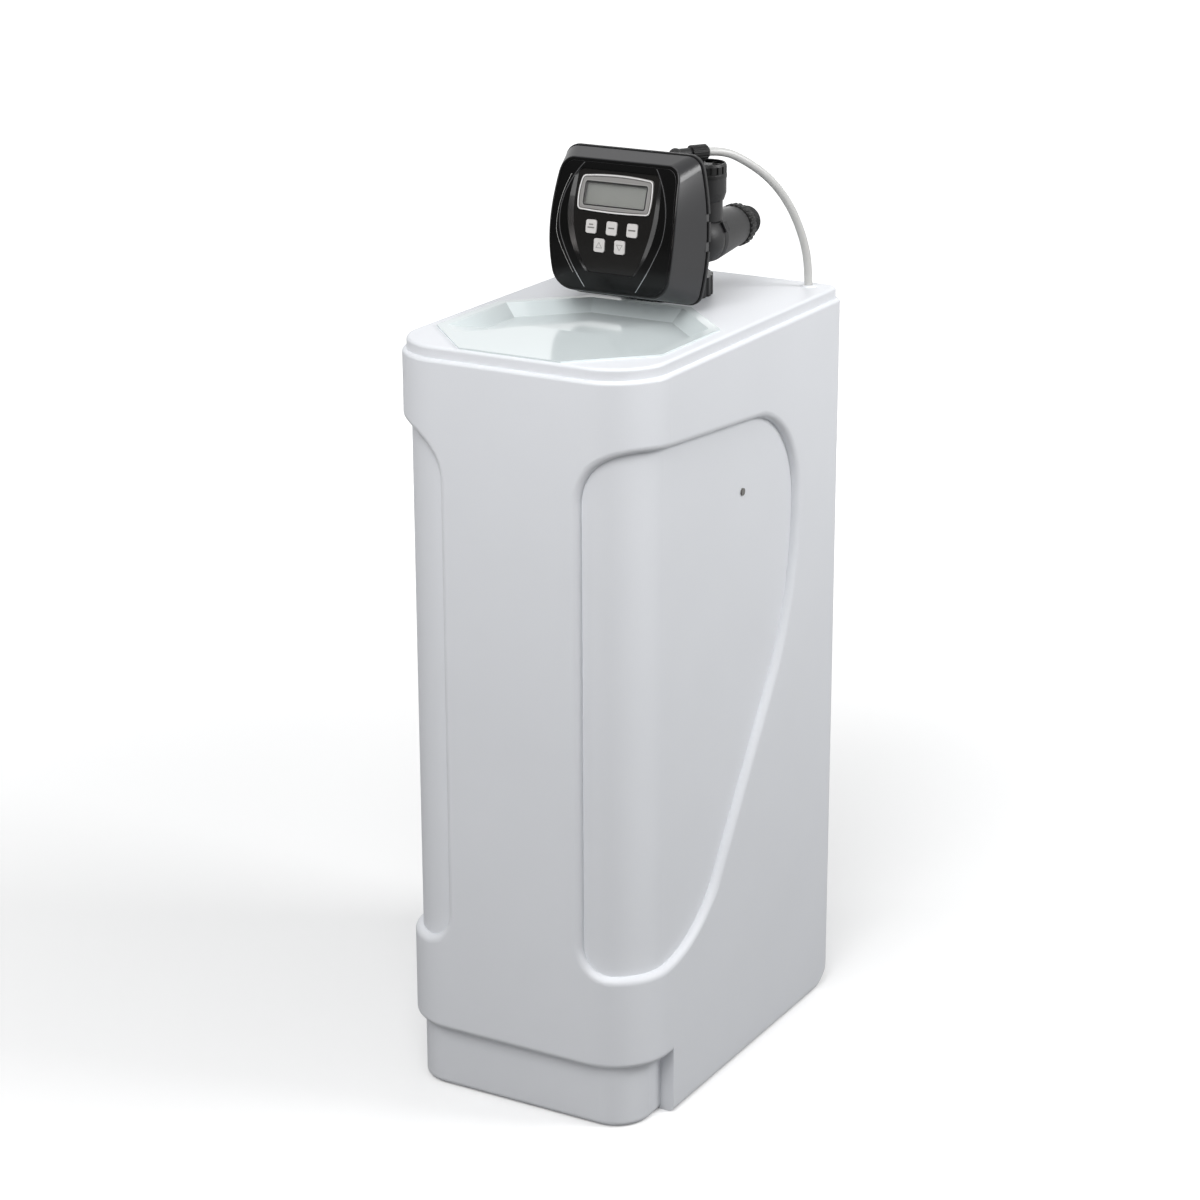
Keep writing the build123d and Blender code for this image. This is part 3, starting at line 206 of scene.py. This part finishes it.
def noise(tree, place, scale, detail):
    """Noise over the object's own coordinates."""
    node = add(tree, "TexNoise", Scale=scale, Detail=detail)
    tree.links.new(place.outputs["Object"], node.inputs["Vector"])
    return node.outputs["Fac"]


def moulded(name, colour, rough=0.45, grain=900.0, bump=0.05, mottle=0.03, scale=6.0, specular=0.5, edge=0.0,
            metallic=0.0):
    """A moulded or plated finish: a faint cloudy variation in its colour and a fine grain in its surface."""
    material, tree, shader = new_material(name)
    place = add(tree, "TexCoord")
    clouds = add(tree, "ValToRGB")
    base = linear(colour)[:3]
    for stop, position, share in zip(clouds.color_ramp.elements, CLOUD_EDGES, (1 - mottle, 1 + mottle)):
        stop.position = position
        stop.color = [min(1, c * share) for c in base] + [1]
    tree.links.new(noise(tree, place, scale, CLOUD_DETAIL), clouds.inputs["Fac"])
    tree.links.new(clouds.outputs["Color"], shader.inputs["Base Color"])
    relief = add(tree, "Bump", Strength=bump, Distance=GRAIN_DEPTH)
    tree.links.new(noise(tree, place, grain, GRAIN_DETAIL), relief.inputs["Height"])
    tree.links.new(relief.outputs["Normal"], shader.inputs["Normal"])
    if edge:
        soften = add(tree, "Bevel", Radius=edge)
        soften.samples = BEVEL_SAMPLES
        tree.links.new(soften.outputs["Normal"], relief.inputs["Normal"])
    shader.inputs["Roughness"].default_value = rough
    shader.inputs["Specular IOR Level"].default_value = specular
    shader.inputs["Metallic"].default_value = metallic
    return material


def polished_shaded_front(name):
    """The control head's cover: satin grey-black sides and top, and a polished black front whose darker
    colour, set by which way a surface faces, is partly painted shade.
    """
    material = moulded(name, (34, 34, 36), rough=0.3, grain=1200.0, bump=0.04, mottle=0.05, edge=0.0008)
    tree = material.node_tree
    satin = tree.nodes["Principled BSDF"]
    # The front's darker black is partly painted shade, picked out by which way a surface faces.
    black = linear((12, 12, 12))
    front = add(tree, "BsdfPrincipled", Base_Color=black, Roughness=0.16, Specular_IOR_Level=0.3)
    facing = mapped(tree, y_part(tree, add(tree, "TexCoord").outputs["Normal"]), COVER_FACING, (0, 1))
    both = mixed(tree, facing, satin.outputs[0], front.outputs[0])
    tree.links.new(both, tree.nodes["Material Output"].inputs["Surface"])
    return material


def clear_film(name):
    """A thin clear sheet that lets the display show and still shines."""
    material, tree, shader = new_material(name)
    shader.inputs["Base Color"].default_value = (0.8, 0.8, 0.8, 1)
    shader.inputs["Roughness"].default_value = 0.08
    shader.inputs["Alpha"].default_value = 0.07
    return material


materials = {
    "cabinet": moulded("cabinet_plastic", (226, 228, 232), rough=0.5, bump=0.12, mottle=0.012),
    "lid": moulded("lid_plastic", (216, 224, 225), rough=0.12, bump=0.01, mottle=0.01),
    "well": moulded("well_plastic", (222, 224, 226), rough=0.4),
    "tank": moulded("tank_wrap", (62, 86, 110), rough=0.4, grain=300.0, bump=0.3),
    "tank_cup": moulded("cup_plastic", (34, 34, 35), rough=0.6),
    "resin": moulded(
        "resin_beads", (176, 122, 60), rough=0.6, grain=1400.0, bump=0.9, mottle=0.25, scale=500.0,
    ),
    "white_plastic": moulded("white_plastic", (226, 226, 222), rough=0.4),
    "valve": moulded(
        "valve_plastic", (32, 32, 33), grain=600.0, bump=0.25, mottle=0.12, specular=0.35, edge=0.0008,
    ),
    "ribbed": moulded(
        "ribbed_plastic", (17, 17, 17), rough=0.42, bump=0.15, mottle=0.1, specular=0.35, edge=0.0005,
    ),
    "cover": polished_shaded_front("cover_plastic"),
    "face": moulded("face_film", (26, 25, 24), rough=0.2, bump=0.01, mottle=0.04, specular=0.35),
    "bezel": moulded("bezel_plastic", (136, 134, 132), rough=0.35, bump=0.03, edge=0.0003),
    "rim": moulded("bezel_rim", (222, 220, 219), rough=0.3, bump=0.02),
    "rim_grey": moulded("bezel_ridge", (150, 149, 147), rough=0.35, bump=0.02),
    # Dark lines, and dark pieces that are painted shade: the window's frame and the catch's window.
    "dark_line_and_shade": moulded("dark_line", (24, 24, 24), rough=0.4, bump=0.02),
    "trim": moulded("trim_foil", (190, 190, 192), rough=0.2, bump=0.02, metallic=1.0),
    "button": moulded("button_plastic", (200, 197, 195)),
    "print": moulded("button_print", (104, 102, 100), rough=0.5, bump=0.02),
    "window": clear_film("window_clear"),
    "display": moulded("display_glass", (120, 122, 116), rough=0.3, bump=0.0),
    "board": moulded("board_green", (24, 92, 52), rough=0.4),
    "steel": moulded("plated_steel", (186, 187, 190), rough=0.3, metallic=1.0),
    "gear": moulded("gear_plastic", (228, 226, 216), rough=0.4),
    "seal": moulded("seal_rubber", (28, 28, 28), rough=0.7),
    "tube": moulded("tube_plastic", (194, 194, 192), rough=0.3, bump=0.02, mottle=0.01),
    "plug": moulded("plug_plastic", (96, 94, 90), rough=0.35),
}
OWN_FINISH = {"side_plug": "plug"}


def dress_nodes():
    """Every solid takes the finish of its slot, apart from those with a finish of their own."""
    for part in frame["record"]["subparts"]:
        obj = nodes[part["node"]]
        obj.data.materials.clear()
        obj.data.materials.append(materials[OWN_FINISH.get(part["node"], part["material_slot"])])


dress_nodes()


# Floor, in metres

FLOOR_REACH = 30
FLOOR_ROUGH = 0.9
FLOOR_BOUNCE = (0.28, 0.28, 0.28, 1)
FLOOR_SEEN = (0.85, 0.85, 0.85, 1)
GLOW_DISTANCES = (0.35, 3.2)
GLOW_STRENGTHS = (0.2, 0.97)
DIM_DEPTHS = (-2.0, -0.4)
DIM_SHARES = (0.12, 1.0)


def floor_glow(tree, path):
    """The light that the floor shows to the camera and in gloss, faint near the object and white far off."""
    place = add(tree, "TexCoord")
    away = add(tree, "VectorMath")
    away.operation = "LENGTH"
    tree.links.new(place.outputs["Object"], away.inputs[0])
    spread = mapped(tree, away.outputs["Value"], GLOW_DISTANCES, GLOW_STRENGTHS, "SMOOTHSTEP")
    # In gloss the floor is dim in front of the object, so that its black face stays black.
    nearer = mapped(tree, y_part(tree, place.outputs["Object"]), DIM_DEPTHS, DIM_SHARES)
    gloss = combined(tree, "MULTIPLY", path.outputs["Is Glossy Ray"], nearer)
    seen = combined(tree, "MAXIMUM", path.outputs["Is Camera Ray"], gloss)
    shown = combined(tree, "MAXIMUM", seen, path.outputs["Is Transmission Ray"])
    glow = add(tree, "Emission", Color=WHITE)
    tree.links.new(combined(tree, "MULTIPLY", shown, spread), glow.inputs["Strength"])
    return glow


def floor_material():
    """Bright paint to the camera and dull paint to everything else, with the floor's glow on top."""
    material, tree, shader = new_material("floor")
    shader.inputs["Roughness"].default_value = FLOOR_ROUGH
    path = add(tree, "LightPath")
    paint = add(tree, "Mix")
    paint.data_type = "RGBA"
    paint.inputs["A"].default_value = FLOOR_BOUNCE
    paint.inputs["B"].default_value = FLOOR_SEEN
    tree.links.new(path.outputs["Is Camera Ray"], paint.inputs["Factor"])
    tree.links.new(paint.outputs["Result"], shader.inputs["Base Color"])
    both = add(tree, "AddShader")
    tree.links.new(shader.outputs[0], both.inputs[0])
    tree.links.new(floor_glow(tree, path).outputs[0], both.inputs[1])
    tree.links.new(both.outputs[0], tree.nodes["Material Output"].inputs["Surface"])
    return material


def floor():
    """A white floor that keeps the object's shadow."""
    mesh = bpy.data.meshes.new("floor")
    signs = ((-1, -1), (1, -1), (1, 1), (-1, 1))
    mesh.from_pydata([(x * FLOOR_REACH, y * FLOOR_REACH, 0) for x, y in signs], [], [(0, 1, 2, 3)])
    mesh.materials.append(floor_material())
    obj = bpy.data.objects.new("floor", mesh)
    bpy.context.collection.objects.link(obj)


floor()


# Brine tube, in metres: its route has the distance from the valve's elbow towards the hole, and the height

TUBE_START = (0.054, 0.100)
TUBE_HOLE = (0.126, 0.214)
TUBE_ROUTE = [
    (0.0, 1.036),
    (0.0205, 1.036),
    (0.0505, 1.0215),
    (0.082, 0.999),
    (0.1075, 0.968),
    (0.126, 0.9295),
    (0.1348, 0.8915),
    (0.1348, 0.854),
]
TUBE_D = 0.0095


def brine_tube():
    """The stiff white tube, one smooth curve through the same points as its solid."""
    dx = TUBE_HOLE[0] - TUBE_START[0]
    dy = TUBE_HOLE[1] - TUBE_START[1]
    run = math.hypot(dx, dy)
    curve = bpy.data.curves.new("brine_tube_line", "CURVE")
    curve.dimensions = "3D"
    spline = curve.splines.new("NURBS")
    spline.points.add(len(TUBE_ROUTE) - 1)
    for point, (s, z) in zip(spline.points, TUBE_ROUTE):
        point.co = (TUBE_START[0] + dx / run * s, TUBE_START[1] + dy / run * s, z, 1)
    spline.order_u = 3
    spline.use_endpoint_u = True
    spline.resolution_u = 12
    curve.bevel_depth = TUBE_D / 2
    curve.bevel_resolution = 8
    curve.use_fill_caps = True
    curve.materials.append(materials["tube"])
    obj = bpy.data.objects.new("brine_tube_line", curve)
    bpy.context.collection.objects.link(obj)
    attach(obj, "softener")
    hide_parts("brine_tube")


brine_tube()


# Pieces in millimetres, made as closed skins

MM = 0.001


def solid_piece(name, skin, body, finish, smooth=True):
    """A closed piece of corners and faces that rides a body and has a finish."""
    verts, faces = skin
    mesh = bpy.data.meshes.new(name)
    mesh.from_pydata([[c * MM for c in v] for v in verts], [], faces)
    form = bmesh.new()
    form.from_mesh(mesh)
    bmesh.ops.recalc_face_normals(form, faces=form.faces)
    form.to_mesh(mesh)
    form.free()
    mesh.materials.append(materials[finish])
    for polygon in mesh.polygons:
        polygon.use_smooth = smooth
    obj = bpy.data.objects.new(name, mesh)
    bpy.context.collection.objects.link(obj)
    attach(obj, body)


def sweep(frames, profile, closed):
    """A profile carried along frames of (origin, across, out), as corners and faces."""
    verts = []
    for origin, across, out in frames:
        for a, b in profile:
            verts.append(origin + across * a + out * b)
    count = len(profile)
    rings = len(frames)
    faces = []
    for i in range(rings if closed else rings - 1):
        j = (i + 1) % rings
        for k in range(count):
            m = (k + 1) % count
            faces.append((i * count + k, i * count + m, j * count + m, j * count + k))
    if not closed:
        faces.append(tuple(range(count)))
        faces.append(tuple((rings - 1) * count + k for k in range(count)))
    return verts, faces


def frames_along(points, outs, closed):
    """A frame at each point of a line, square to the line and to the surface that it lies on."""
    frames = []
    last = len(points) - 1
    for i, (point, out) in enumerate(zip(points, outs)):
        before = points[i - 1] if closed or i > 0 else point
        after = points[(i + 1) % len(points)] if closed or i < last else point
        frames.append((point, (after - before).normalized().cross(out).normalized(), out))
    return frames


def strip(width, height, sunk=0.15):
    """A flat strip's profile, its foot a little inside what it lies on."""
    half = width / 2
    return [(-half, -sunk), (-half, height), (half, height), (half, -sunk)]


# Control head: the face is part of a cylinder along X

FACE_R = 258.0
FACE_AXIS_Y = 234.5
FACE_AXIS_Z = 920.0


def barrel_normal(z):
    """The direction square to the face at a height."""
    lift = math.asin((z - FACE_AXIS_Z) / FACE_R)
    return Vector((0, -math.cos(lift), math.sin(lift)))


def face_frames(path, closed):
    """Frames along a path of (x, z) points on the face."""
    points = []
    for x, z in path:
        points.append(Vector((x, FACE_AXIS_Y - math.sqrt(FACE_R ** 2 - (z - FACE_AXIS_Z) ** 2), z)))
    return frames_along(points, [barrel_normal(point.z) for point in points], closed)


def round_loop(half_x, half_z, corner, bends=8, sides=12):
    """A rounded rectangle about the origin, with points along its sides too."""
    path = []
    signs = ((1, 1), (-1, 1), (-1, -1), (1, -1))
    for turn, (sx, sz) in enumerate(signs):
        for i in range(bends + 1):
            angle = math.radians(90 * (turn + i / bends))
            x = sx * (half_x - corner) + corner * math.cos(angle)
            z = sz * (half_z - corner) + corner * math.sin(angle)
            path.append((x, z))
        nx, nz = signs[(turn + 1) % 4]
        start_x, start_z = path[-1]
        end_x = nx * (half_x - corner) + corner * math.cos(angle)
        end_z = nz * (half_z - corner) + corner * math.sin(angle)
        for i in range(1, sides):
            share = i / sides
            path.append((start_x + (end_x - start_x) * share, start_z + (end_z - start_z) * share))
    return path


# Display bezel

BEZEL_Z = 1001.2
BEZEL_HALF_X = 44.0
BEZEL_HALF_Z = 18.0
BEZEL_CORNER = 4.0
BEZEL_LEAST_CORNER = 0.8
BEZEL_TAPER = 0.0114
BEZEL_SIDE_BOW = 2.2
BEZEL_TOP_BOW = 2.6
BEZEL_FOOT_BOW = 1.6
WINDOW_Z = 1000.8
WINDOW_HALF_X = 37.6
WINDOW_HALF_Z = 11.4
WINDOW_CORNER = 1.5
RIM_PROFILE = [(-0.75, -0.4), (-0.62, 0.3), (-0.25, 0.5), (0.25, 0.5), (0.62, 0.3), (0.75, -0.4)]
RIDGE_PROFILE = [(-0.5, -0.3), (-0.3, 0.22), (0.3, 0.22), (0.5, -0.3)]


def bezel_loop(inset):
    """The bezel's bowed outline, drawn in by an inset."""
    half_x = BEZEL_HALF_X
    half_z = BEZEL_HALF_Z
    path = []
    for u, w in round_loop(half_x - inset, half_z - inset, max(BEZEL_CORNER - inset, BEZEL_LEAST_CORNER)):
        side = BEZEL_SIDE_BOW * (1 - (w / half_z) ** 2)
        end = (BEZEL_TOP_BOW if w > 0 else BEZEL_FOOT_BOW) * (1 - (u / half_x) ** 2)
        path.append((u * (1 - BEZEL_TAPER * w / half_z) + side * u / half_x, BEZEL_Z + w + end * w / half_z))
    return path


def window_loop(grow):
    """The window opening's outline, grown by a margin."""
    loop = round_loop(WINDOW_HALF_X + grow, WINDOW_HALF_Z + grow, WINDOW_CORNER + grow)
    return [(x, WINDOW_Z + z) for x, z in loop]


def bezel_rims():
    """The bezel's bright rim and the dark line inside it, and the window's grey ridge and a dark frame that
    is painted shade of the window's recessed edge.
    """
    for name, path, profile, finish in (
        ("bezel_outer_rim", bezel_loop(0.85), RIM_PROFILE, "rim"),
        ("bezel_dark_line", bezel_loop(2.2), strip(0.55, 0.03), "dark_line_and_shade"),
        ("bezel_inner_ridge", window_loop(2.1), RIDGE_PROFILE, "rim_grey"),
        ("bezel_window_frame_shade", window_loop(0.75), strip(1.5, 0.05), "dark_line_and_shade"),
    ):
        solid_piece(name, sweep(face_frames(path, True), profile, True), "front_cover", finish)


bezel_rims()


# Water ports

PORT_X = 50.0
PORT_Z = 940.0
PORT_R = 28.4
SHOULDER_PROFILE = [
    (PORT_R, 100.5),
    (PORT_R, 95.0),
    (27.8, 88.0),
    (26.2, 81.0),
    (23.2, 75.0),
    (18.6, 70.5),
    (12.0, 67.6),
    (4.0, 66.4),
]
SHOULDER_STEPS = 48
CATCH_Y = 103.5
CATCH_LIFT = math.radians(28)
CATCH_SUNK = 1.2
CATCH_BEVEL = 0.4


def port_shoulder(name, x):
    """The rounded front end of a water port, where it grows out of the valve body."""
    angles = [2 * math.pi * k / SHOULDER_STEPS for k in range(SHOULDER_STEPS)]
    circle = [(math.cos(angle), math.sin(angle)) for angle in angles]
    frames = [(Vector((x, y, PORT_Z)), Vector((r, 0, 0)), Vector((0, 0, r))) for r, y in SHOULDER_PROFILE]
    solid_piece(name, sweep(frames, circle, False), "softener", "valve")


def side_catch():
    """The small catch moulded on the side of the right-hand port, with its window drawn as a dark plate of
    painted shade.
    """
    out = Vector((math.cos(CATCH_LIFT), 0, math.sin(CATCH_LIFT)))
    up = Vector((-math.sin(CATCH_LIFT), 0, math.cos(CATCH_LIFT)))
    foot = Vector((PORT_X, CATCH_Y, PORT_Z)) + out * PORT_R
    for name, half_y, half_up, depth, finish in (
        ("side_catch", 4.6, 6.0, 2.8, "valve"),
        # The window is a dark plate of painted shade standing for the opening.
        ("side_catch_window_shade", 1.9, 2.6, 2.95, "dark_line_and_shade"),
    ):
        loop = [(-half_y, -half_up), (half_y, -half_up), (half_y, half_up), (-half_y, half_up)]
        levels = ((-CATCH_SUNK, 1), (depth - CATCH_BEVEL, 1), (depth, 1 - CATCH_BEVEL / half_y))
        frames = [(foot + out * level, Vector((0, share, 0)), up * share) for level, share in levels]
        solid_piece(name, sweep(frames, loop, False), "softener", finish, smooth=False)


port_shoulder("inlet_port_shoulder", PORT_X)
port_shoulder("outlet_port_shoulder", -PORT_X)
side_catch()


# Button marks

BUTTON_TOP_R = FACE_R - 0.3
UPPER_BUTTONS_Z = 966.0
LOWER_BUTTONS_Z = 946.5
BUTTONS = {
    "button_left": (-25.6, UPPER_BUTTONS_Z),
    "button_middle": (0.0, UPPER_BUTTONS_Z),
    "button_right": (25.6, UPPER_BUTTONS_Z),
    "button_up": (-14.2, LOWER_BUTTONS_Z),
    "button_down": (11.4, LOWER_BUTTONS_Z),
}
PRINT_HEIGHT = 0.04
ARROW_HALF = 3.6
ARROW_TIP = 3.3


def button_mark(name, lines, closed, width):
    """Printed lines on a button's front, each a path of points measured across and up from its middle."""
    x, z = BUTTONS[name]
    out = barrel_normal(z)
    up = out.cross(Vector((1, 0, 0)))
    middle = Vector((x, FACE_AXIS_Y, FACE_AXIS_Z)) + out * BUTTON_TOP_R
    verts = []
    faces = []
    for line in lines:
        points = [middle + Vector((a, 0, 0)) + up * b for a, b in line]
        frames = frames_along(points, [out] * len(points), closed)
        more, skin = sweep(frames, strip(width, PRINT_HEIGHT), closed)
        faces += [tuple(k + len(verts) for k in face) for face in skin]
        verts += more
    solid_piece(name + "_mark", (verts, faces), name, "print", smooth=False)


def button_marks():
    """Plain marks: an arrow on each lower button and short lines on the upper three."""
    arrow = [(-ARROW_HALF, -ARROW_TIP * 0.8), (ARROW_HALF, -ARROW_TIP * 0.8), (0, ARROW_TIP)]
    button_mark("button_up", [arrow], True, 1.0)
    button_mark("button_down", [[(a, -b) for a, b in arrow]], True, 1.0)
    button_mark("button_left", [[(-2.6, 2.3), (2.6, 2.3)], [(-4.2, -1.1), (4.2, -1.1)]], False, 1.4)
    button_mark("button_middle", [[(-3.6, 0.2), (3.6, 0.2)]], False, 1.6)
    button_mark("button_right", [[(-4.5, 0.2), (4.5, 0.2)]], False, 1.6)


button_marks()


# The faint second line on the face: a real fine edge, drawn light grey on the left side only as a painted
# highlight

FACE_HIGHLIGHT_LINE = [
    (-46.3, 913.6),
    (-54.6, 928.0),
    (-61.3, 940.0),
    (-65.8, 949.5),
    (-68.6, 958.0),
    (-69.3, 968.0),
    (-67.9, 986.0),
    (-64.6, 1001.0),
    (-61.4, 1011.0),
    (-58.3, 1019.0),
]
LINE_STEPS = 6
LINE_SMOOTHINGS = 4


def face_highlight_line():
    """The faint line outside the left-hand bright one, a painted highlight along an edge, divided finely and
    then smoothed.
    """
    path = []
    for (x0, z0), (x1, z1) in zip(FACE_HIGHLIGHT_LINE, FACE_HIGHLIGHT_LINE[1:]):
        for i in range(LINE_STEPS):
            path.append((x0 + (x1 - x0) * i / LINE_STEPS, z0 + (z1 - z0) * i / LINE_STEPS))
    path.append(FACE_HIGHLIGHT_LINE[-1])
    for _ in range(LINE_SMOOTHINGS):
        inner = []
        for a, b, c in zip(path, path[1:], path[2:]):
            inner.append(((a[0] + 2 * b[0] + c[0]) / 4, (a[1] + 2 * b[1] + c[1]) / 4))
        path = [path[0], *inner, path[-1]]
    skin = sweep(face_frames(path, False), strip(0.55, 0.06, 0.3), False)
    solid_piece("face_highlight_line", skin, "front_cover", "rim_grey")


face_highlight_line()


# Threads on the water fittings

THREAD_PITCH = 2.31
THREAD_FRONT = 187.4
THREAD_REAR = 207.2
THREAD_STEPS = 40
THREAD_FADE = 20
THREAD_SUNK_R = 16.2
THREAD_RISE = 0.3
THREAD_PROFILE = [(-1.0, -0.2), (-0.28, 0.85), (0.28, 0.85), (1.0, -0.2)]


def thread(name, x):
    """The thread on a water fitting, sinking into it at both ends."""
    count = int((THREAD_REAR - THREAD_FRONT) / THREAD_PITCH * THREAD_STEPS)
    frames = []
    for i in range(count + 1):
        angle = 2 * math.pi * i / THREAD_STEPS
        radius = THREAD_SUNK_R + THREAD_RISE * min(1, i / THREAD_FADE, (count - i) / THREAD_FADE)
        out = Vector((math.cos(angle), 0, math.sin(angle)))
        origin = Vector((x, THREAD_FRONT + THREAD_PITCH * i / THREAD_STEPS, PORT_Z)) + out * radius
        frames.append((origin, Vector((0, 1, 0)), out))
    solid_piece(name, sweep(frames, THREAD_PROFILE, False), "softener", "valve", smooth=False)


thread("inlet_thread_form", PORT_X)
thread("outlet_thread_form", -PORT_X)
